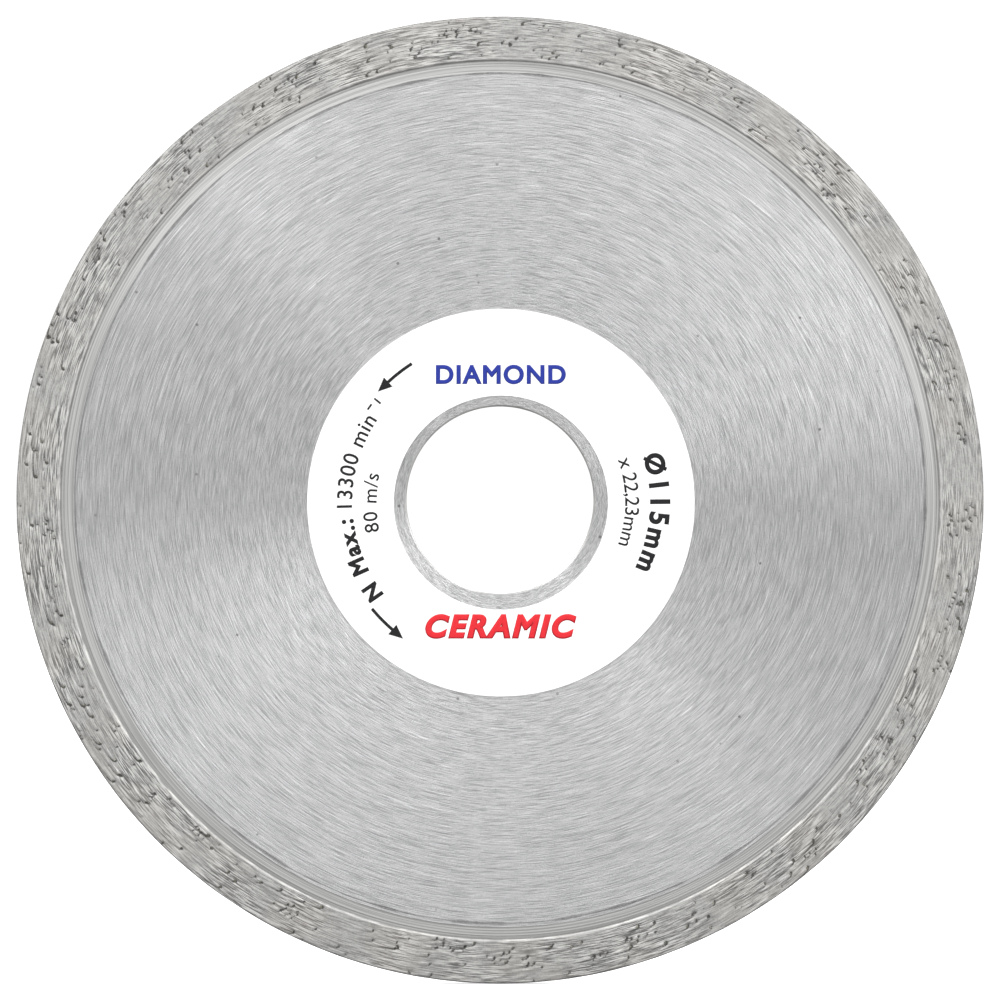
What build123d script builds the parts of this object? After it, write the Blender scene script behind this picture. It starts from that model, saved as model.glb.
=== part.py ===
"""Continuous-rim diamond blade for an angle grinder, 115 x 22.23 mm.

The blade stands upright: its axis is Y, its printed front face looks towards -Y, and +Z is up.
The origin is the centre of the arbor bore, halfway through the steel core.
All sizes are in millimetres and all angles in degrees.
"""
from build123d import *
from math import cos, radians, sin
from random import Random
import os

os.makedirs("parts", exist_ok=True)

# ---- Driving dimensions -------------------------------------------------------------------
blade_d = 115.0          # over the points of the grit on the cutting edge
bore_d = 22.23           # standard 7/8 inch arbor
core_t = 1.3             # steel disc
rim_t = 1.8              # sintered rim, proud of the core on both faces
rim_height = 5.2         # radial height of the cutting rim

# Steel core
bore_chamfer = 0.15
band_width = 1.6         # turned band beside the rim, on both faces
band_depth = 0.06        # the core stays this much thinner from the band to its edge
tooth_count = 48         # locking teeth inside the rim
tooth_height = 1.4
tooth_root_w = 2.8
tooth_tip_w = 3.7        # wider than the root, so that the bond can't pull off

# Sintered rim
rim_inner_bevel = 0.12
rim_outer_bevel = 0.22

# Diamond grit: half-buried octahedral crystals with their outer points dressed down
crystal_size = 0.56      # across the points
crystal_proud = 0.09     # height of the dressed point above the bond
crystal_lift = 0.01      # height of the crystal's widest section above the bond
crystal_gap = 0.75       # least distance between the centres of two crystals
face_crystals = 120      # on each side face
edge_crystals = 40       # on the cutting edge

# Printed label on the front face
label_d = 46.0
label_hole_d = 25.4
label_t = 0.1
label_shift = (0.1, -0.33)   # stuck on a little off centre

# ---- Sizes that follow --------------------------------------------------------------------
bore_r = bore_d / 2
blade_r = blade_d / 2
bond_r = blade_r - crystal_proud
seam_r = blade_r - rim_height
band_r = seam_r - band_width
tooth_tip_r = seam_r + tooth_height
half_core = core_t / 2
half_edge = half_core - band_depth
half_rim = rim_t / 2
half_crystal = crystal_size / 2
face_plane = Plane.XZ    # its normal is -Y, the way that the front face looks

# ---- Steel core: turned disc with arbor bore, thinned edge and locking teeth --------------
with BuildPart() as steel_core:
    with BuildSketch(Plane.XY):
        with BuildLine():
            Polyline(
                (bore_r, 0),
                (bore_r, half_core - bore_chamfer),
                (bore_r + bore_chamfer, half_core),
                (band_r, half_core),
                (band_r + band_depth, half_edge),
                (tooth_tip_r, half_edge),
                (tooth_tip_r, 0),
            )
            mirror(about=Plane.XZ)
        make_face()
    revolve(axis=Axis.Y)
    with BuildSketch(face_plane):
        Circle(tooth_tip_r + tooth_height)
        Circle(seam_r, mode=Mode.SUBTRACT)
        with PolarLocations(0, tooth_count):
            Polygon(
                (seam_r - tooth_height, -tooth_root_w / 2),
                (seam_r, -tooth_root_w / 2),
                (tooth_tip_r, -tooth_tip_w / 2),
                (tooth_tip_r + tooth_height, -tooth_tip_w / 2),
                (tooth_tip_r + tooth_height, tooth_tip_w / 2),
                (tooth_tip_r, tooth_tip_w / 2),
                (seam_r, tooth_root_w / 2),
                (seam_r - tooth_height, tooth_root_w / 2),
                align=None,
                mode=Mode.SUBTRACT,
            )
    extrude(amount=core_t, both=True, mode=Mode.SUBTRACT)
steel_core.part.label = "steel_core"
export_step(steel_core.part, "parts/steel_core.step")

# ---- Diamond grit: separate crystals, seated in the rim's faces and cutting edge ----------
chance = Random(115)
seats = []


def face_seat(tilt):
    """A seat on a side face: tilt 90 turns the crystal's point to the front, -90 to the back."""
    inner = seam_r + rim_inner_bevel + half_crystal
    outer = bond_r - rim_outer_bevel - half_crystal
    radius = chance.uniform(inner, outer)
    angle = radians(chance.uniform(0, 360))
    side = -1 if tilt > 0 else 1
    place = Location((radius * cos(angle), side * (half_rim + crystal_lift), radius * sin(angle)))
    return place * Location((0, 0, 0), (tilt, 0, chance.uniform(0, 90)))


def edge_seat():
    """A seat on the cutting edge, with the crystal's point outwards along the radius."""
    inset = half_rim - rim_outer_bevel - half_crystal
    across = Location((0, chance.uniform(-inset, inset), 0), (0, chance.uniform(0, 360), 0))
    outwards = Location((bond_r + crystal_lift, 0, 0), (0, 90, 0))
    return across * outwards * Location((0, 0, 0), (0, 0, chance.uniform(0, 90)))


def fill_seats(count, propose):
    """Take count proposed seats, leaving out any that is too near to one already taken."""
    wanted = len(seats) + count
    while len(seats) < wanted:
        seat = propose()
        if all((seat.position - other.position).length > crystal_gap for other in seats):
            seats.append(seat)


fill_seats(face_crystals, lambda: face_seat(90))
fill_seats(face_crystals, lambda: face_seat(-90))
fill_seats(edge_crystals, edge_seat)

crystal = ConvexPolyhedron([
    (half_crystal, 0, 0),
    (-half_crystal, 0, 0),
    (0, half_crystal, 0),
    (0, -half_crystal, 0),
    (0, 0, crystal_proud - crystal_lift),
    (0, 0, -half_crystal),
])
with BuildPart() as diamond_grit:
    with Locations(*seats):
        add(crystal)
diamond_grit.part.label = "diamond_grit"
export_step(diamond_grit.part, "parts/diamond_grit.step")

# ---- Sintered rim: bond pressed round the core's teeth, with a socket for each crystal ----
with BuildPart() as diamond_rim:
    with BuildSketch(Plane.XY) as rim_profile:
        with Locations(((seam_r + bond_r) / 2, 0)):
            Rectangle(bond_r - seam_r, rim_t)
        chamfer(rim_profile.vertices().group_by(Axis.X)[0], rim_inner_bevel)
        chamfer(rim_profile.vertices().group_by(Axis.X)[-1], rim_outer_bevel)
    revolve(axis=Axis.Y)
    add(steel_core.part, mode=Mode.SUBTRACT)
    add(diamond_grit.part, mode=Mode.SUBTRACT)
diamond_rim.part.label = "diamond_rim"
export_step(diamond_rim.part, "parts/diamond_rim.step")

# ---- Label: ring of printed film stuck to the front face ----------------------------------
with BuildPart() as label:
    with BuildSketch(face_plane.offset(half_core)):
        with Locations(label_shift):
            Circle(label_d / 2)
            Circle(label_hole_d / 2, mode=Mode.SUBTRACT)
    extrude(amount=label_t)
label.part.label = "label"
export_step(label.part, "parts/label.step")
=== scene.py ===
"""Looks of a continuous-rim diamond blade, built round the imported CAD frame.

The blade stands upright: its axis is Y, the printed front face looks towards -Y and +Z is up.
Blender works in metres, and the sizes below are written in millimetres times MM.
"""
import bmesh
import bpy
import math
import numpy as np
import random
from mathutils import Matrix, Vector

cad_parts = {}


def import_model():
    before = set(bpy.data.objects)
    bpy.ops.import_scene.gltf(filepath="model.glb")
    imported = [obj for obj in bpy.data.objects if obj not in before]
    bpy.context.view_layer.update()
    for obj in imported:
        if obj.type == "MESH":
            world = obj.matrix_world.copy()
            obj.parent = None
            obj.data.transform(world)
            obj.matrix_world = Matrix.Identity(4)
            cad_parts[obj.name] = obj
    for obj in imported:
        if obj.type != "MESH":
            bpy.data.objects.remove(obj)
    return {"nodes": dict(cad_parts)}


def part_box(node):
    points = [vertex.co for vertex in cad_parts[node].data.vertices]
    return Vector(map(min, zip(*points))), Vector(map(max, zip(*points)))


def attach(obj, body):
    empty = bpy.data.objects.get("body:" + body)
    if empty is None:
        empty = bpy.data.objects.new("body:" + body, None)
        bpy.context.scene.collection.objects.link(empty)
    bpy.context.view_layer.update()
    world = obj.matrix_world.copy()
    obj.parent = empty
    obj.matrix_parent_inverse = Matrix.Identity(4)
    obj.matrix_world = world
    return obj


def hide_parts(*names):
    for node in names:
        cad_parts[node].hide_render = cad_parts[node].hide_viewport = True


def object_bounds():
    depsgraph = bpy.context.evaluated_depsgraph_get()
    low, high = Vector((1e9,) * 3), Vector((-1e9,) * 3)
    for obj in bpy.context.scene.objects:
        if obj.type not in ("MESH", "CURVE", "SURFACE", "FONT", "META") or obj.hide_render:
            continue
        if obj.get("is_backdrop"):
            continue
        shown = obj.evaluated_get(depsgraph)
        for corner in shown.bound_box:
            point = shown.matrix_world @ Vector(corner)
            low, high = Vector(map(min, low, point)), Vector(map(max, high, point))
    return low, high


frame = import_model()
cad_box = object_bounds()

MM = 0.001
NODES = frame["nodes"]


# ---- Sizes taken from the frame -----------------------------------------------------------
def mesh_points(obj):
    """The vertices of a mesh as rows of x, y, z."""
    points = np.zeros(len(obj.data.vertices) * 3)
    obj.data.vertices.foreach_get("co", points)
    return points.reshape(-1, 3)


def reach(node):
    """Smallest and largest distance of a CAD node's corners from the blade's axis."""
    points = mesh_points(NODES[node])
    radii = np.hypot(points[:, 0], points[:, 2])
    return float(radii.min()), float(radii.max())


BORE_R, TOOTH_TIP_R = reach("steel_core")
SEAM_R, BOND_R = reach("diamond_rim")
HALF_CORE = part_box("steel_core")[1].y
HALF_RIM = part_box("diamond_rim")[1].y
LABEL_LOW, LABEL_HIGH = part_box("label")
LABEL_CENTRE = (LABEL_LOW + LABEL_HIGH) / 2
LABEL_R = (LABEL_HIGH.x - LABEL_LOW.x) / 2
LABEL_FACE = LABEL_LOW.y

# ---- Sizes that the CAD boxes don't give --------------------------------------------------
BORE_CHAMFER = 0.15 * MM
BAND_WIDTH = 1.6 * MM
BAND_DEPTH = 0.06 * MM
BAND_R = SEAM_R - BAND_WIDTH
HALF_EDGE = HALF_CORE - BAND_DEPTH
TOOTH_COUNT = 48
TOOTH_TIP = 3.7 * MM
RIM_INNER_ROUND = 0.25 * MM
RIM_LIP = 0.15 * MM      # bond that has crept over the steel beside the seam
RIM_OUTER_ROUND = 0.22 * MM
SEAT_DEPTH = 0.2 * MM    # a crystal nearer than this to a side face is seated in that face
LABEL_HOLE_R = 12.7 * MM
LABEL_SOFT_EDGE = 0.02 * MM
INK_T = 0.012 * MM
FLOOR_REACH = 6.0        # metres each way, so that no view meets its edge
BLADE_SHARE = 0.969      # of the view's width, as the camera frames the blade
SHARP_ANGLE = math.radians(35)


# ---- Making and finishing meshes ----------------------------------------------------------
def link_object(name, data):
    """A new object in the scene for a mesh, curve, light or camera."""
    obj = bpy.data.objects.new(name, data)
    bpy.context.scene.collection.objects.link(obj)
    return obj


def mesh_from(name, bm):
    """Empties a bmesh into a new mesh."""
    mesh = bpy.data.meshes.new(name)
    bm.to_mesh(mesh)
    bm.free()
    return mesh


def verts_in(geometry):
    """The vertices among what a bmesh operator gave back."""
    return [item for item in geometry if isinstance(item, bmesh.types.BMVert)]


def piece(name, bm, slot, *materials):
    """A finished mesh object from a bmesh, riding on the blade."""
    mesh = mesh_from(name, bm)
    obj = link_object(name, mesh)
    for material in materials:
        mesh.materials.append(material)
    mesh.shade_smooth()
    mesh.set_sharp_from_angle(angle=SHARP_ANGLE)
    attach(obj, "root")
    return obj


def spun(profile, steps):
    """A ring: the profile's (radius, y) points turned once round the blade's axis.

    A sixteenth of the turn is spun, and then doubled four times.
    """
    bm = bmesh.new()
    verts = [bm.verts.new((radius, y, 0)) for radius, y in profile]
    pairs = zip(verts, verts[1:] + verts[:1])
    edges = [bm.edges.new(pair) for pair in pairs]
    bmesh.ops.spin(bm, geom=verts + edges, cent=(0, 0, 0), axis=(0, 1, 0), dvec=(0, 0, 0),
                   angle=math.tau / 16, steps=steps // 16, use_merge=False, use_duplicate=False)
    for turn in (math.tau / 16, math.tau / 8, math.tau / 4, math.tau / 2):
        grown = bmesh.ops.duplicate(bm, geom=bm.verts[:] + bm.edges[:] + bm.faces[:])["geom"]
        bmesh.ops.rotate(bm, verts=verts_in(grown), cent=(0, 0, 0),
                         matrix=Matrix.Rotation(turn, 3, "Y"))
    bmesh.ops.remove_doubles(bm, verts=bm.verts, dist=1e-7)
    bmesh.ops.recalc_face_normals(bm, faces=bm.faces)
    return bm


def corner(centre, size, start, end, count):
    """Points of a rounded corner, from one angle to the other in degrees."""
    angles = np.radians(np.linspace(start, end, count))
    return [(centre[0] + size * math.cos(a), centre[1] + size * math.sin(a)) for a in angles]


# ---- Shader helpers -----------------------------------------------------------------------
class Tree:
    """Short words for building a node tree."""

    def __init__(self, tree):
        self.tree = tree

    def node(self, kind, inputs=None, **settings):
        made = self.tree.nodes.new(kind)
        for key, value in settings.items():
            setattr(made, key, value)
        for key, value in (inputs or {}).items():
            self.put(value, made.inputs[key])
        return made

    def put(self, value, socket):
        if isinstance(value, bpy.types.NodeSocket):
            self.tree.links.new(value, socket)
        else:
            socket.default_value = value

    def math(self, operation, a, b=0.0, c=0.0):
        return self.node("ShaderNodeMath", {0: a, 1: b, 2: c}, operation=operation).outputs[0]

    def vector(self, operation, a, b=(0, 0, 0)):
        made = self.node("ShaderNodeVectorMath", {0: a, 1: b}, operation=operation)
        return made.outputs["Value" if operation == "LENGTH" else "Vector"]

    def scale(self, a, factor):
        made = self.node("ShaderNodeVectorMath", {0: a, "Scale": factor}, operation="SCALE")
        return made.outputs["Vector"]

    def ramp(self, value, low, high, out_low=0.0, out_high=1.0):
        """Smooth step: out_low up to low, out_high from high on."""
        made = self.node("ShaderNodeMapRange", {
            "Value": value, "From Min": low, "From Max": high, "To Min": out_low, "To Max": out_high,
        }, interpolation_type="SMOOTHSTEP")
        return made.outputs["Result"]

    def noise(self, vector, scale, detail=2.0, roughness=0.5):
        made = self.node("ShaderNodeTexNoise", {
            "Vector": vector, "Scale": scale, "Detail": detail, "Roughness": roughness,
        }, noise_dimensions="3D")
        return made.outputs["Fac"]

    def mix(self, factor, a, b):
        made = self.node("ShaderNodeMix", data_type="RGBA")
        self.put(factor, made.inputs["Factor"])
        self.put(a, made.inputs[6])
        self.put(b, made.inputs[7])
        return made.outputs[2]

    def bump(self, height, distance, strength=1.0):
        made = self.node("ShaderNodeBump", {
            "Height": height, "Distance": distance, "Strength": strength,
        })
        return made.outputs["Normal"]


def new_group(name, inputs, outputs):
    """An empty shader node group with float or vector sockets."""
    group = bpy.data.node_groups.new(name, "ShaderNodeTree")
    for socket, kind in inputs:
        group.interface.new_socket(socket, in_out="INPUT", socket_type="NodeSocket" + kind)
    for socket, kind in outputs:
        group.interface.new_socket(socket, in_out="OUTPUT", socket_type="NodeSocket" + kind)
    tree = Tree(group)
    return group, tree, tree.node("NodeGroupInput").outputs, tree.node("NodeGroupOutput").inputs


def new_material(name):
    """A material with one Principled shader.

    Returns the material, its tree, the shader and the object coordinates in mm.
    """
    material = bpy.data.materials.new(name)
    material.use_nodes = True
    tree = Tree(material.node_tree)
    material.node_tree.nodes.clear()
    shader = tree.node("ShaderNodeBsdfPrincipled")
    output = tree.node("ShaderNodeOutputMaterial")
    tree.put(shader.outputs["BSDF"], output.inputs["Surface"])
    place = tree.node("ShaderNodeTexCoord").outputs["Object"]
    return material, tree, shader, tree.scale(place, 1 / MM)


def use(tree, group, inputs):
    """Outputs of a group node with those inputs."""
    made = tree.node("ShaderNodeGroup", node_tree=group)
    for key, value in inputs.items():
        tree.put(value, made.inputs[key])
    return made.outputs


def arc_lines_group():
    """Grinding lines: noise drawn out along arcs about a centre near the blade's axis.

    Lines is how many fit in a millimetre across the arcs, and Sweep how fast they change
    along them: 10 makes them about a tenth of a radian long. The place's depth counts with
    its radius, so that lines also run round the bore and the cutting edge.
    """
    group, tree, inp, out = new_group(
        "arc lines",
        [("Place", "Vector"), ("Centre", "Vector"), ("Lines", "Float"), ("Sweep", "Float"),
         ("Detail", "Float")],
        [("Value", "Float")],
    )
    shifted = tree.vector("SUBTRACT", inp["Place"], inp["Centre"])
    flat = tree.vector("MULTIPLY", shifted, (1, 0, 1))
    radius = tree.vector("LENGTH", flat)
    heading = tree.vector("NORMALIZE", flat)
    around = tree.scale(heading, inp["Sweep"])
    depth = tree.node("ShaderNodeSeparateXYZ", {"Vector": shifted}).outputs["Y"]
    across = tree.math("MULTIPLY", tree.math("ADD", radius, depth), inp["Lines"])
    across = tree.node("ShaderNodeCombineXYZ", {"Y": across})
    spot = tree.vector("ADD", around, across.outputs["Vector"])
    noise = tree.noise(spot, 1.0, inp["Detail"], 0.55)
    tree.put(noise, out["Value"])
    return group


def face_radius(tree, place):
    """Distance from the blade's axis in mm."""
    return tree.vector("LENGTH", tree.vector("MULTIPLY", place, (1, 0, 1)))


ARC_LINES = arc_lines_group()


# ---- Materials ----------------------------------------------------------------------------
def set_constants(shader, **values):
    """Sets shader sockets that stay unlinked; a name's underscores stand for spaces."""
    for key, value in values.items():
        shader.inputs[key.replace("_", " ")].default_value = value


def ring_tangent(tree):
    """Tangent round the blade's axis, for light to spread across the rings."""
    return tree.node("ShaderNodeTangent", direction_type="RADIAL", axis="Y").outputs["Tangent"]


def painted_band_shade_group():
    """How dark the steel is beside the rim: painted shade of the turned band's steps and of the
    rim's inner edge.

    Radius is in mm. The line where the band begins comes and goes round the blade, and a
    thin one stays against the rim.
    """
    group, tree, inp, out = new_group(
        "painted band shade", [("Place", "Vector"), ("Radius", "Float")], [("Shade", "Float")])
    start, end = BAND_R / MM, SEAM_R / MM
    # Painted shade of the step where the band begins, widening here and there into a stained smudge;
    # its centre sits 0.2 mm up.
    wander = tree.noise(inp["Place"], 0.16, 3.0, 0.6)
    width = tree.ramp(wander, 0.45, 0.7, 0.12, 0.34)
    shifted = tree.vector("SUBTRACT", inp["Place"], (0.0, 0.0, 0.2))
    off = tree.math("ABSOLUTE", tree.math("SUBTRACT", face_radius(tree, shifted), start - 0.24))
    line = tree.ramp(tree.math("DIVIDE", off, width), 0.3, 1.0, 1.0, 0.0)
    line = tree.math("MULTIPLY", line, tree.ramp(wander, 0.3, 0.6, 0.46, 0.70))
    # Painted shade: a thin dark line half a millimetre inside the seam.
    middle = tree.math("ABSOLUTE", tree.math("SUBTRACT", inp["Radius"], end - 0.50))
    middle = tree.math("MULTIPLY", tree.ramp(middle, 0.04, 0.13, 1.0, 0.0), 0.40)
    # Painted shade against the rim's inner edge.
    against = tree.ramp(inp["Radius"], end - 0.36, end - 0.17, 0.0, 0.5)
    shade = tree.math("MAXIMUM", tree.math("MAXIMUM", line, middle), against)
    grit = tree.noise(inp["Place"], 3.0, 3.0, 0.6)
    tree.put(tree.math("MULTIPLY", shade, tree.ramp(grit, 0.2, 0.6, 0.6, 1.0)), out["Shade"])
    return group


PAINTED_BAND_SHADE = painted_band_shade_group()


def ground_steel():
    """Face of the core: three crossing passes of a face grinder, each a little off centre."""
    material, tree, shader, place = new_material("ground steel")
    passes = []
    for centre, lines, sweep in (
        ((2.2, 0.0, 0.8), 13.0, 10.0),
        ((-1.7, 7.0, 1.8), 17.0, 12.0),
        ((-0.4, 3.0, -2.6), 22.0, 15.0),
    ):
        scratch = use(tree, ARC_LINES, {
            "Place": place, "Centre": centre, "Lines": lines, "Sweep": sweep, "Detail": 2.0,
        })["Value"]
        passes.append(tree.ramp(scratch, 0.38, 0.62))
    lines = tree.math("ADD", tree.math("ADD", passes[0], passes[1]), passes[2])
    lines = tree.ramp(lines, 0.5, 2.5)
    cloud = tree.noise(place, 0.09, 3.0)
    tone = tree.math("ADD", tree.math("MULTIPLY", lines, 0.9), tree.math("MULTIPLY", cloud, 0.1))
    colour = tree.mix(tone, (0.33, 0.33, 0.333, 1), (0.61, 0.61, 0.615, 1))
    deep = use(tree, ARC_LINES, {
        "Place": place, "Centre": (1.4, 5.0, -1.2), "Lines": 12.0, "Sweep": 7.0, "Detail": 1.0,
    })["Value"]
    bright = tree.ramp(deep, 0.63, 0.73, 0.0, 0.8)
    dull = tree.ramp(deep, 0.27, 0.37, 0.65, 0.0)
    colour = tree.mix(bright, colour, (0.78, 0.78, 0.785, 1))
    colour = tree.mix(dull, colour, (0.29, 0.29, 0.293, 1))
    grain = tree.noise(place, 5.0, 2.0, 0.6)
    colour = tree.mix(tree.ramp(grain, 0.56, 0.72, 0.0, 0.45), colour, (0.31, 0.31, 0.313, 1))
    # Painted shade beside the rim, from the band shade group, darkens the steel.
    shade = use(tree, PAINTED_BAND_SHADE, {"Place": place, "Radius": face_radius(tree, place)})["Shade"]
    colour = tree.mix(shade, colour, (0.13, 0.13, 0.128, 1))
    specks = tree.node("ShaderNodeTexVoronoi", {"Vector": place, "Scale": 0.42})
    shares = tree.node("ShaderNodeSeparateColor", {"Color": specks.outputs["Color"]}).outputs
    size = tree.ramp(shares["Green"], 0.0, 1.0, 0.04, 0.11)
    speck = tree.ramp(tree.math("DIVIDE", specks.outputs["Distance"], size), 0.5, 1.0, 1.0, 0.0)
    speck = tree.math("MULTIPLY", speck, tree.ramp(shares["Red"], 0.70, 0.95, 0.0, 0.9))
    colour = tree.mix(speck, colour, (0.17, 0.17, 0.17, 1))
    tree.put(colour, shader.inputs["Base Color"])
    tree.put(tree.math("MULTIPLY_ADD", lines, -0.14, 0.46), shader.inputs["Roughness"])
    tree.put(tree.bump(lines, 0.012 * MM), shader.inputs["Normal"])
    tree.put(ring_tangent(tree), shader.inputs["Tangent"])
    set_constants(shader, Metallic=1.0, Anisotropic=0.85, Anisotropic_Rotation=0.25)
    return material


def turned_steel():
    """Lathe-turned band beside the rim, bore wall and chamfers: fine even rings."""
    material, tree, shader, place = new_material("turned steel")
    rings = use(tree, ARC_LINES, {
        "Place": place, "Centre": (0.0, 0.0, 0.0), "Lines": 6.0, "Sweep": 2.0, "Detail": 2.0,
    })["Value"]
    rings = tree.ramp(rings, 0.35, 0.65)
    colour = tree.mix(rings, (0.36, 0.36, 0.353, 1), (0.60, 0.60, 0.59, 1))
    # Painted shade beside the rim, from the band shade group, darkens the steel.
    shade = use(tree, PAINTED_BAND_SHADE, {"Place": place, "Radius": face_radius(tree, place)})["Shade"]
    colour = tree.mix(shade, colour, (0.13, 0.13, 0.128, 1))
    tree.put(colour, shader.inputs["Base Color"])
    tree.put(tree.math("MULTIPLY_ADD", rings, -0.1, 0.42), shader.inputs["Roughness"])
    tree.put(tree.bump(rings, 0.008 * MM), shader.inputs["Normal"])
    tree.put(ring_tangent(tree), shader.inputs["Tangent"])
    set_constants(shader, Metallic=1.0, Anisotropic=0.55, Anisotropic_Rotation=0.25)
    return material


def sintered_bond():
    """Bond of the rim: dull ground metal, warmer than the core, darker where grit has left pits
    (residue and painted shade), with a painted highlight along the lip at the seam.
    """
    material, tree, shader, place = new_material("sintered bond")
    drag = use(tree, ARC_LINES, {
        "Place": place, "Centre": (0.0, 0.0, 0.0), "Lines": 9.0, "Sweep": 26.0, "Detail": 3.0,
    })["Value"]
    drag = tree.ramp(drag, 0.36, 0.64)
    torn = tree.ramp(tree.noise(place, 0.14, 2.0), 0.40, 0.60, 0.45, 1.15)
    grain = tree.noise(place, 5.0, 4.0, 0.65)
    tone = tree.math("MULTIPLY_ADD", tree.math("SUBTRACT", drag, 0.5), torn, 0.5)
    tone = tree.math("MULTIPLY_ADD", tree.math("SUBTRACT", grain, 0.5), 0.7, tone)
    colour = tree.mix(tone, (0.14, 0.139, 0.136, 1), (0.60, 0.595, 0.58, 1))
    blush = tree.ramp(tree.noise(place, 0.13, 2.0), 0.42, 0.62)
    colour = tree.mix(tree.math("MULTIPLY", blush, 0.15), colour, (0.48, 0.43, 0.385, 1))
    # Painted highlight: the bond is lightened along the lip at the seam, all round the blade.
    off_lip = tree.math("ABSOLUTE", tree.math("SUBTRACT", face_radius(tree, place), SEAM_R / MM))
    lip_highlight = tree.ramp(off_lip, 0.05, 0.25, 0.3, 0.0)
    colour = tree.mix(lip_highlight, colour, (0.78, 0.775, 0.76, 1))
    # The pit attribute darkens pits and grooves with residue and painted shade of the hollows, and
    # the outer edge with painted shade.
    pit = tree.node("ShaderNodeAttribute", attribute_name="pit").outputs["Fac"]
    ragged = tree.math("MULTIPLY_ADD", tree.math("SUBTRACT", grain, 0.5), 0.9, pit)
    pit = tree.math("MAXIMUM", tree.ramp(ragged, 0.30, 0.62), tree.math("MULTIPLY", pit, 0.4))
    colour = tree.mix(pit, colour, (0.085, 0.083, 0.079, 1))
    tree.put(colour, shader.inputs["Base Color"])
    tree.put(tree.math("MULTIPLY_ADD", grain, 0.25, 0.42), shader.inputs["Roughness"])
    height = tree.math("ADD", tree.math("MULTIPLY", drag, torn), tree.math("MULTIPLY", grain, 0.8))
    tree.put(tree.bump(height, 0.012 * MM), shader.inputs["Normal"])
    set_constants(shader, Metallic=0.75)
    return material


def diamond_crystal():
    """Synthetic diamond grit: dark, glassy and slightly green."""
    material, tree, shader, place = new_material("diamond crystal")
    tint = tree.noise(place, 0.9, 1.0)
    colour = tree.mix(tree.ramp(tint, 0.3, 0.7), (0.025, 0.026, 0.022, 1), (0.16, 0.155, 0.11, 1))
    tree.put(colour, shader.inputs["Base Color"])
    tree.put(tree.math("MULTIPLY_ADD", tint, 0.2, 0.12), shader.inputs["Roughness"])
    set_constants(shader, IOR=2.0)
    return material


def label_film():
    """Matt white label film with a faint tooth."""
    material, tree, shader, place = new_material("label film")
    fibre = tree.noise(place, 9.0, 4.0, 0.6)
    cloud = tree.noise(place, 0.35, 2.0)
    tone = tree.math("ADD", tree.math("MULTIPLY", fibre, 0.5), tree.math("MULTIPLY", cloud, 0.5))
    colour = tree.mix(tone, (0.90, 0.90, 0.90, 1), (0.98, 0.98, 0.98, 1))
    tree.put(colour, shader.inputs["Base Color"])
    tree.put(tree.math("MULTIPLY_ADD", fibre, 0.12, 0.42), shader.inputs["Roughness"])
    tree.put(tree.bump(fibre, 0.006 * MM, 0.5), shader.inputs["Normal"])
    return material


def ink(name, dark, light):
    """Printing ink: a solid tone with a little mottle."""
    material, tree, shader, place = new_material(name)
    mottle = tree.noise(place, 7.0, 3.0, 0.6)
    tree.put(tree.mix(mottle, dark, light), shader.inputs["Base Color"])
    tree.put(tree.math("MULTIPLY_ADD", mottle, 0.15, 0.5), shader.inputs["Roughness"])
    set_constants(shader, Specular_IOR_Level=0.15)
    return material


GROUND_STEEL = ground_steel()
TURNED_STEEL = turned_steel()
BOND = sintered_bond()
CRYSTAL = diamond_crystal()
FILM = label_film()
BLUE_INK = ink("blue ink", (0.018, 0.032, 0.26, 1), (0.03, 0.05, 0.34, 1))
RED_INK = ink("red ink", (0.62, 0.02, 0.03, 1), (0.78, 0.035, 0.045, 1))
BLACK_INK = ink("black ink", (0.010, 0.010, 0.011, 1), (0.022, 0.022, 0.024, 1))


# ---- Steel core ---------------------------------------------------------------------------
STEPS_PER_TOOTH = 12
STEPS_ON_TOOTH = 5


def pull_teeth(bm):
    """Draws the locking teeth out of the disc's edge, each wider at its tip than at its root."""
    step = math.tau / (TOOTH_COUNT * STEPS_PER_TOOTH)
    pitch = step * STEPS_PER_TOOTH
    bmesh.ops.rotate(bm, verts=bm.verts, cent=(0, 0, 0), matrix=Matrix.Rotation(step / 2, 3, "Y"))

    def from_tooth_middle(point):
        angle = math.atan2(point.z, point.x)
        return angle - round(angle / pitch) * pitch

    edge_faces = [
        face for face in bm.faces
        if all(math.hypot(v.co.x, v.co.z) > SEAM_R - 0.001 * MM for v in face.verts)
        and abs(from_tooth_middle(face.calc_center_median())) < step * STEPS_ON_TOOTH / 2
    ]
    grown = bmesh.ops.extrude_face_region(bm, geom=edge_faces)["geom"]
    spread = (TOOTH_TIP / 2 / TOOTH_TIP_R) / (step * STEPS_ON_TOOTH / 2)
    for vert in verts_in(grown):
        angle = math.atan2(vert.co.z, vert.co.x)
        angle += from_tooth_middle(vert.co) * (spread - 1)
        vert.co.x = TOOTH_TIP_R * math.cos(angle)
        vert.co.z = TOOTH_TIP_R * math.sin(angle)


def core_disc():
    """The turned and ground disc, with its locking teeth inside the rim."""
    chamfer_end = BORE_R + BORE_CHAMFER * 1.3    # worn to a soft curve, so a little wider
    front = [
        (BORE_R, 0),
        (BORE_R, HALF_CORE - BORE_CHAMFER),
        (BORE_R + BORE_CHAMFER * 0.3, HALF_CORE - BORE_CHAMFER * 0.45),
        (BORE_R + BORE_CHAMFER, HALF_CORE - 0.01 * MM),
        (chamfer_end, HALF_CORE),
        (BAND_R, HALF_CORE),
        (BAND_R + BAND_DEPTH, HALF_EDGE),
        (SEAM_R, HALF_EDGE),
    ]
    back = [(radius, -y) for radius, y in reversed(front[1:])]
    bm = spun(front + back, TOOTH_COUNT * STEPS_PER_TOOTH)
    pull_teeth(bm)
    for face in bm.faces:
        middle = face.calc_center_median()
        face.material_index = 0 if chamfer_end < math.hypot(middle.x, middle.z) < BAND_R else 1
    core = piece("core_disc", bm, "steel", GROUND_STEEL, TURNED_STEEL)
    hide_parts("steel_core")


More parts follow.
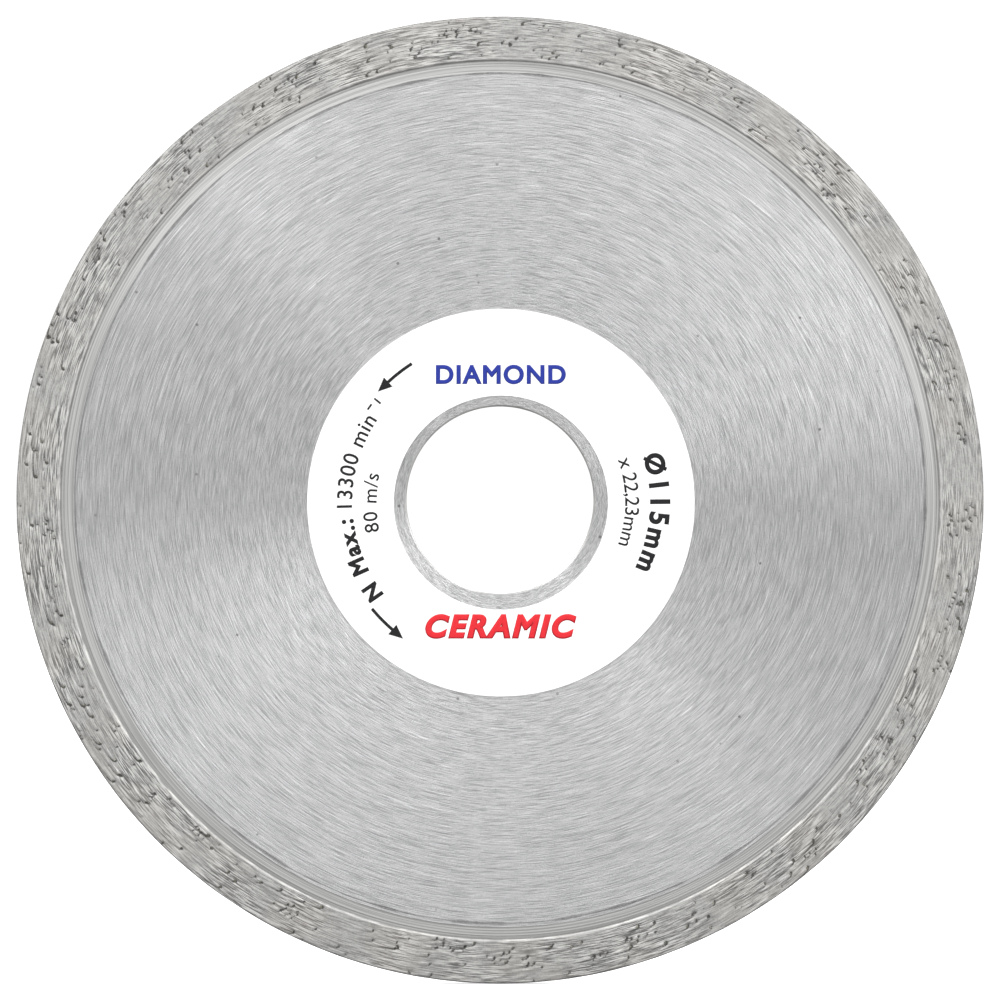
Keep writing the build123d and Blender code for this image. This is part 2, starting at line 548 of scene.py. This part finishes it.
# ---- Diamond grit -------------------------------------------------------------------------
def grit_seats():
    """Centre of each CAD crystal, from the separate islands of the grit's mesh."""
    bm = bmesh.new()
    bm.from_mesh(NODES["diamond_grit"].data)
    bmesh.ops.remove_doubles(bm, verts=bm.verts, dist=1e-6)
    seats, seen = [], set()
    for start in bm.verts:
        if start in seen:
            continue
        island, queue = [], [start]
        seen.add(start)
        while queue:
            vert = queue.pop()
            island.append(vert.co.copy())
            for edge in vert.link_edges:
                other = edge.other_vert(vert)
                if other not in seen:
                    seen.add(other)
                    queue.append(other)
        low = Vector([min(point[axis] for point in island) for axis in range(3)])
        high = Vector([max(point[axis] for point in island) for axis in range(3)])
        seats.append((low + high) / 2)
    bm.free()
    return sorted(seats, key=lambda seat: tuple(round(value, 6) for value in seat))


def grit_crystals(seats):
    """A cube with its corners cut off for each seat, turned at random, with only its top showing."""
    chance = random.Random(5)
    bm = bmesh.new()
    for seat in seats:
        half = chance.uniform(0.17, 0.25) * MM
        turn = Matrix.Rotation(chance.uniform(0, math.tau), 4, Vector((
            chance.uniform(-1, 1), chance.uniform(-1, 1), chance.uniform(-1, 1))).normalized())
        sunk = half - chance.uniform(0.04, 0.08) * MM
        if abs(seat.y) > HALF_RIM - SEAT_DEPTH:
            place = Vector((seat.x, math.copysign(HALF_RIM - sunk, seat.y), seat.z))
        else:
            outward = Vector((seat.x, 0, seat.z)).normalized()
            place = outward * (BOND_R - sunk) + Vector((0, seat.y, 0))
        cube = bmesh.ops.create_cube(bm, size=half * 1.45,
                                     matrix=Matrix.Translation(place) @ turn)["verts"]
        bmesh.ops.bevel(bm, geom=cube, offset=half * 0.55, offset_type="OFFSET", segments=1,
                        profile=0.5, material=-1, affect="VERTICES")
    crystals = piece("grit_crystals", bm, "diamond", CRYSTAL)
    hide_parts("diamond_grit")


# ---- Sintered rim -------------------------------------------------------------------------
RIM_STEPS = TOOTH_COUNT * 32
DRIFT = 0.10             # how far a scar drifts outwards for each unit of its length
LOOSE_MARKS = 250        # old pits on each side face, besides those beside the crystals
MARK_CLUSTERS = 54       # patches of small pits on each side face
TAIL_HEIGHT = 0.045 * MM
PIT_DEPTH = 0.13 * MM
DEEPEST = 0.2 * MM       # limits of what pits, tails and noise add up to
PROUDEST = 0.07 * MM
EDGE_SINK = 0.02 * MM    # about how far the worn cutting edge is below its full size
MARK_AHEAD = 0.8 * MM    # a mark changes nothing further from its middle than these
MARK_BESIDE = 1.3 * MM


def ring_noise(across, around, seed, rows, columns, drift=0):
    """Smooth noise from -1 to 1 that closes on itself round the blade.

    across runs from 0 to 1 over rows cells and around from 0 to 1 over columns cells; drift
    is how many rows the pattern climbs in a full turn.
    """
    grid = np.random.default_rng(seed).uniform(-1, 1, (rows, columns))
    u = (across * rows + around * drift) % rows
    v = (around * columns) % columns
    row, column = u.astype(int) % rows, v.astype(int) % columns
    fu, fv = u - np.floor(u), v - np.floor(v)
    fu, fv = fu * fu * (3 - 2 * fu), fv * fv * (3 - 2 * fv)
    next_row, next_column = (row + 1) % rows, (column + 1) % columns
    low = grid[row, column] * (1 - fv) + grid[row, next_column] * fv
    high = grid[next_row, column] * (1 - fv) + grid[next_row, next_column] * fv
    return low * (1 - fu) + high * fu


def hump(value, width):
    """A smooth bump of height 1 round zero."""
    return np.exp(-(value / width) ** 2)


def scars(angle, across, radius, marks):
    """Height and darkening of the pit in front of each crystal and the tail of bond behind it; the
    darkening is residue and painted shade in the hollows.

    The blade turns anticlockwise as its front is seen, so every tail runs clockwise.
    """
    height, residue_and_shade = np.zeros_like(angle), np.zeros_like(angle)
    for mark_angle, mark_across, length, size in marks:
        behind = ((mark_angle - angle + math.pi) % math.tau - math.pi) * radius
        near = (behind > -MARK_AHEAD) & (behind < length)
        near &= abs(across - mark_across) < MARK_BESIDE
        s = behind[near]
        t = across[near] - mark_across - DRIFT * s
        fade = np.clip(1 - s / length, 0, 1) * np.clip(s / (0.15 * MM) + 1, 0, 1)
        ridge = hump(t, 0.15 * MM) - hump(t - 0.28 * MM, 0.12 * MM)
        ridge -= 0.5 * hump(t + 0.28 * MM, 0.12 * MM)
        pit = hump(s + 0.18 * MM, 0.17 * MM) * hump(t, 0.23 * MM)
        height[near] += size * (TAIL_HEIGHT * ridge * fade - PIT_DEPTH * pit)
        # Pits and grooves are darkened: residue in them, and painted shade of the hollows.
        groove = hump(t - 0.26 * MM, 0.12 * MM) * fade
        residue_and_shade[near] = np.maximum(residue_and_shade[near], size * (1.2 * pit + 0.7 * groove))
    return height, np.clip(residue_and_shade, 0, 1)


def scar_marks(seats, side, chance):
    """Marks on one side face (side -1 in front, 1 behind): one for each crystal, and old pits."""
    marks = []
    for seat in seats:
        if seat.y * side > HALF_RIM - SEAT_DEPTH:
            marks.append((math.atan2(seat.z, seat.x), math.hypot(seat.x, seat.z),
                          chance.uniform(2.5, 6.0) * MM, chance.uniform(0.7, 1.1)))
    for _ in range(LOOSE_MARKS):
        marks.append((chance.uniform(-math.pi, math.pi),
                      chance.uniform(SEAM_R + 0.3 * MM, BOND_R - 0.2 * MM),
                      chance.uniform(1.5, 6.0) * MM, chance.uniform(0.3, 0.8)))
    for _ in range(MARK_CLUSTERS):
        angle = chance.uniform(-math.pi, math.pi)
        across = chance.uniform(SEAM_R + 0.8 * MM, BOND_R - 0.4 * MM)
        for _ in range(chance.randint(4, 9)):
            marks.append((angle + chance.uniform(-1.1, 1.1) * MM / across,
                          across + chance.uniform(-0.7, 0.7) * MM,
                          chance.uniform(0.5, 1.8) * MM, chance.uniform(0.4, 0.85)))
    return marks


def rim_half(side):
    """Half of the sintered rim, from the blade's middle plane to one side face."""
    inner, outer = RIM_INNER_ROUND, RIM_OUTER_ROUND
    lip = SEAM_R - RIM_LIP
    buried = HALF_EDGE - 0.02 * MM
    profile = [(SEAM_R, 0), (SEAM_R, buried), (lip, buried)]
    profile += corner((lip + inner, HALF_RIM - inner), inner, 180, 90, 7)
    profile += [(radius, HALF_RIM) for radius in
                np.linspace(lip + inner, BOND_R - outer, 44)[1:]]
    profile += corner((BOND_R - outer, HALF_RIM - outer), outer, 90, 0, 6)[1:]
    profile += [(BOND_R, y) for y in np.linspace(HALF_RIM - outer, 0, 6)[1:]]
    bm = spun([(radius, y * side) for radius, y in profile], RIM_STEPS)
    name = "rim_front_half" if side < 0 else "rim_back_half"
    rim = piece(name, bm, "bond", BOND)

    points = mesh_points(rim)
    radius = np.hypot(points[:, 0], points[:, 2])
    angle = np.arctan2(points[:, 2], points[:, 0])
    turn = angle / math.tau
    depth = np.abs(points[:, 1])
    on_face = np.clip((depth - (HALF_RIM - inner)) / inner, 0, 1)
    on_edge = np.clip((radius - (BOND_R - outer)) / outer, 0, 1)
    chance = random.Random(31 + side)

    # Side face: the marks, then fine drag lines, broader ones and a slow waviness.
    across = (radius - SEAM_R) / (BOND_R - SEAM_R)
    face_height, face_residue_and_shade = scars(angle, radius, radius, scar_marks(SEATS, side, chance))
    face_height += 0.010 * MM * ring_noise(across, turn, 41 + side, 40, 420, 270)
    face_height += 0.012 * MM * ring_noise(across, turn, 51 + side, 13, 150, 88)
    face_height += 0.010 * MM * ring_noise(across, turn, 61 + side, 4, 90)

    # Cutting edge: a mark for each crystal seated in it, and the same kinds of unevenness.
    edge_marks = [
        (math.atan2(seat.z, seat.x), seat.y, chance.uniform(1.5, 4.0) * MM, 0.8)
        for seat in SEATS if abs(seat.y) < HALF_RIM - SEAT_DEPTH
    ]
    edge_height, edge_residue_and_shade = scars(angle, points[:, 1], radius, edge_marks)
    wide = points[:, 1] / (2 * HALF_RIM) + 0.5
    edge_height += 0.012 * MM * ring_noise(wide, turn, 71, 12, 260)
    edge_height += 0.010 * MM * ring_noise(wide, turn, 72, 3, 90)

    face_height = np.clip(face_height, -DEEPEST, PROUDEST)
    edge_height = np.clip(edge_height - EDGE_SINK, -DEEPEST, 0.0)
    points[:, 1] += side * face_height * on_face
    points[:, 0] += edge_height * on_edge * np.cos(angle)
    points[:, 2] += edge_height * on_edge * np.sin(angle)
    rim.data.vertices.foreach_set("co", points.ravel())
    residue_and_shade = np.maximum(face_residue_and_shade * on_face, edge_residue_and_shade * on_edge)
    # Painted shade: the rounded outer edge and the cutting edge are darkened all round, damping
    # their highlight.
    residue_and_shade = np.maximum(residue_and_shade, 0.42 * np.clip(4 * on_edge, 0, 1))
    rim.data.attributes.new("pit", "FLOAT", "POINT").data.foreach_set("value", residue_and_shade)
    rim.data.update()
    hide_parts("diamond_rim")


# ---- Label and its print ------------------------------------------------------------------
def label_ring():
    """The film, a thin ring with its cut edges just rounded."""
    soft, stuck, face = LABEL_SOFT_EDGE, -HALF_CORE, LABEL_FACE
    profile = [
        (LABEL_HOLE_R, stuck), (LABEL_HOLE_R, face + soft), (LABEL_HOLE_R + soft, face),
        (LABEL_R - soft, face), (LABEL_R, face + soft), (LABEL_R, stuck),
    ]
    bm = spun(profile, 360)
    bmesh.ops.translate(bm, verts=bm.verts, vec=(LABEL_CENTRE.x, 0, LABEL_CENTRE.z))
    film = piece("label_film", bm, "label", FILM)
    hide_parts("label")


def on_label(mesh):
    """Turns a drawing made in XY, with its origin at the label's centre, onto the label's face."""
    mesh.transform(Matrix.Translation((LABEL_CENTRE.x, LABEL_FACE, LABEL_CENTRE.z))
                   @ Matrix.Rotation(math.pi / 2, 4, "X"))


def ink_piece(name, mesh, material):
    """A piece of print from a drawing in XY."""
    obj = link_object(name, mesh)
    mesh.materials.clear()
    mesh.materials.append(material)
    on_label(mesh)
    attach(obj, "root")


def lettering(name, words, material, size, weight=0.008, slant=0.0, spacing=1.0,
              baseline=0.0, ring=None, middle=0.0):
    """Flat letters: straight with their baseline at that height, or round a ring.

    ring is the baseline's radius, with the letters' tops outwards and reading clockwise, and
    middle is the angle in degrees, anticlockwise from +X, that the words are centred on.
    weight is how much fatter than the plain letter each stroke is on either side, as a share
    of the size.
    """
    font = bpy.data.curves.new(name, "FONT")
    font.body = words
    font.size = size
    font.shear = slant
    font.space_character = spacing
    font.bevel_depth = weight * size
    font.bevel_resolution = 0
    font.resolution_u = 8
    holder = link_object(name + "_text", font)
    helpers = [holder]
    if ring is not None:
        bpy.ops.curve.primitive_bezier_circle_add(radius=ring, rotation=(math.pi, 0, 0))
        helpers.append(bpy.context.object)
        font.follow_curve = helpers[-1]
    bpy.context.view_layer.update()
    graph = bpy.context.evaluated_depsgraph_get()
    mesh = bpy.data.meshes.new_from_object(holder.evaluated_get(graph))
    mesh.name = name
    for helper in helpers:
        bpy.data.objects.remove(helper)
    corners = [vert.co for vert in mesh.vertices]
    if ring is None:
        left, right = min(c.x for c in corners), max(c.x for c in corners)
        mesh.transform(Matrix.Translation((-(left + right) / 2, baseline, 0)))
    else:
        mean = sum(corners, Vector()).to_2d()
        turns = [mean.angle_signed(c.to_2d()) for c in corners]
        lean = math.atan2(mean.y, mean.x) - (min(turns) + max(turns)) / 2
        mesh.transform(Matrix.Rotation(math.radians(middle) - lean, 4, "Z"))
    mesh.transform(Matrix.Diagonal((1, 1, INK_T / 2 / font.bevel_depth, 1)))
    ink_piece(name, mesh, material)


def turning_arrow(name, radius, start, end):
    """A curved arrow from one angle to the other, in degrees, with its head at the end."""
    bm = bmesh.new()
    half, depth = 0.19 * MM, INK_T / 2
    head_half, head_length = 0.75 * MM, 1.7 * MM
    sweep = math.radians(end - start)
    corners = [(radius - half, -depth), (radius + half, -depth),
               (radius + half, depth), (radius - half, depth)]
    verts = [bm.verts.new((x, 0, z)) for x, z in corners]
    face = bm.faces.new(verts)
    bmesh.ops.spin(bm, geom=[face], cent=(0, 0, 0), axis=(0, 0, 1), dvec=(0, 0, 0),
                   angle=sweep, steps=16, use_merge=False, use_duplicate=False)
    turn = Matrix.Rotation(sweep, 3, "Z")
    tip = [(radius - head_half, 0), (radius + head_half, 0), (radius, head_length)]
    low = [bm.verts.new(turn @ Vector((x, y, -depth))) for x, y in tip]
    bm.faces.new(low)
    up = bmesh.ops.extrude_face_region(bm, geom=bm.faces[-1:])["geom"]
    bmesh.ops.translate(bm, verts=verts_in(up), vec=(0, 0, INK_T))
    bmesh.ops.rotate(bm, verts=bm.verts, cent=(0, 0, 0),
                     matrix=Matrix.Rotation(math.radians(start), 3, "Z"))
    bmesh.ops.recalc_face_normals(bm, faces=bm.faces)
    ink_piece(name, mesh_from(name, bm), BLACK_INK)


def print_label():
    """The print: a plain trade word, a material word, sizes, speeds and turning arrows."""
    lettering("ink_heading", "DIAMOND", BLUE_INK, 3.0 * MM, weight=0.038, spacing=1.13,
              baseline=14.2 * MM)
    lettering("ink_material", "CERAMIC", RED_INK, 3.6 * MM, weight=0.060, slant=0.25,
              spacing=1.22, baseline=-15.9 * MM)
    lettering("ink_diameter", "Ø115mm", BLACK_INK, 3.15 * MM, weight=0.042, spacing=1.20,
              ring=17.85 * MM, middle=-3.8)
    lettering("ink_bore", "x 22,23mm", BLACK_INK, 2.4 * MM, weight=0.008, spacing=0.94,
              ring=14.8 * MM, middle=0.4)
    lettering("ink_speed_heading", "N Max.:", BLACK_INK, 2.65 * MM, weight=0.042, spacing=1.18,
              ring=17.7 * MM, middle=202)
    lettering("ink_speed", "13300 min⁻¹", BLACK_INK, 2.6 * MM, weight=0.012, spacing=1.05,
              ring=17.7 * MM, middle=161)
    lettering("ink_surface_speed", "80 m/s", BLACK_INK, 2.4 * MM, weight=0.008, spacing=1.06,
              ring=14.8 * MM, middle=180)
    turning_arrow("ink_arrow_top", 19.6 * MM, 122.6, 133)
    turning_arrow("ink_arrow_bottom", 19.8 * MM, 219.4, 229.4)


# ---- Studio -------------------------------------------------------------------------------
def floor():
    """A wide pale floor that the rim just touches."""
    bm = bmesh.new()
    bmesh.ops.create_grid(bm, x_segments=1, y_segments=1, size=FLOOR_REACH,
                          matrix=Matrix.Translation((0, 0, cad_box[0].z)))
    obj = link_object("floor", mesh_from("floor", bm))
    material, tree, shader, place = new_material("pale floor")
    seen = tree.node("ShaderNodeLightPath").outputs["Is Camera Ray"]
    tree.put(tree.math("MULTIPLY", seen, 0.6), shader.inputs["Emission Strength"])
    tree.put(tree.mix(seen, (0.32, 0.32, 0.32, 1), (0.8, 0.8, 0.8, 1)),
             shader.inputs["Base Color"])
    set_constants(shader, Roughness=0.8, Emission_Color=(1, 1, 1, 1))
    obj.data.materials.append(material)
    obj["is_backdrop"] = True


def world():
    """White all round to the camera; softer, and dimmer below, to the blade."""
    made = bpy.data.worlds.new("studio")
    made.use_nodes = True
    tree = Tree(made.node_tree)
    made.node_tree.nodes.clear()
    up = tree.node("ShaderNodeSeparateXYZ", {
        "Vector": tree.node("ShaderNodeTexCoord").outputs["Generated"]}).outputs["Z"]
    soft = tree.ramp(up, -0.35, 0.35, 0.465, 1.49)
    seen = tree.node("ShaderNodeLightPath").outputs["Is Camera Ray"]
    strength = tree.math("MAXIMUM", soft, tree.math("MULTIPLY", seen, 1.05))
    background = tree.node("ShaderNodeBackground",
                           {"Color": (1, 1, 1, 1), "Strength": strength})
    output = tree.node("ShaderNodeOutputWorld")
    tree.put(background.outputs["Background"], output.inputs["Surface"])
    bpy.context.scene.world = made


def panel(name, around, forward, distance, size, power):
    """A square light that looks at the blade from in front.

    around is the light's angle in the blade's plane, in degrees, and forward how far it
    stands in front of that plane for each unit out from the axis.
    """
    light = bpy.data.lights.new(name, "AREA")
    light.shape = "SQUARE"
    light.size = size
    light.energy = power
    obj = link_object(name, light)
    angle = math.radians(around)
    place = Vector((math.cos(angle), -forward, math.sin(angle))).normalized() * distance
    obj.location = place
    obj.rotation_euler = (-place).to_track_quat("-Z", "Y").to_euler()


def studio():
    """Floor, surroundings and the panels that light the steel's streaks and the rim."""
    floor()
    world()
    panel("right_panel", 27, 1.1, 1.2, 0.45, 2.2)
    panel("upper_right_panel", 52, 1.3, 1.2, 0.25, 0.7)
    panel("upper_left_panel", 126, 1.2, 1.2, 0.35, 1.8)
    panel("right_rim_panel", 62, 0.2, 1.2, 0.4, 1.5)
    panel("left_rim_panel", 120, 0.2, 1.2, 0.4, 2.0)
    bpy.context.scene.view_settings.view_transform = "Standard"


def camera():
    """Square on to the printed face, with a long lens."""
    data = bpy.data.cameras.new("camera")
    data.lens = 135
    data.sensor_width = 36
    data.clip_start = 0.01
    view_width = 2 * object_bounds()[1].x / BLADE_SHARE
    obj = link_object("camera", data)
    obj.location = (0, -HALF_RIM - view_width * data.lens / data.sensor_width, 0)
    obj.rotation_euler = (math.radians(90), 0, 0)
    bpy.context.scene.camera = obj


camera()
SEATS = grit_seats()
core_disc()
rim_half(-1)
rim_half(1)
grit_crystals(SEATS)
label_ring()
print_label()
studio()
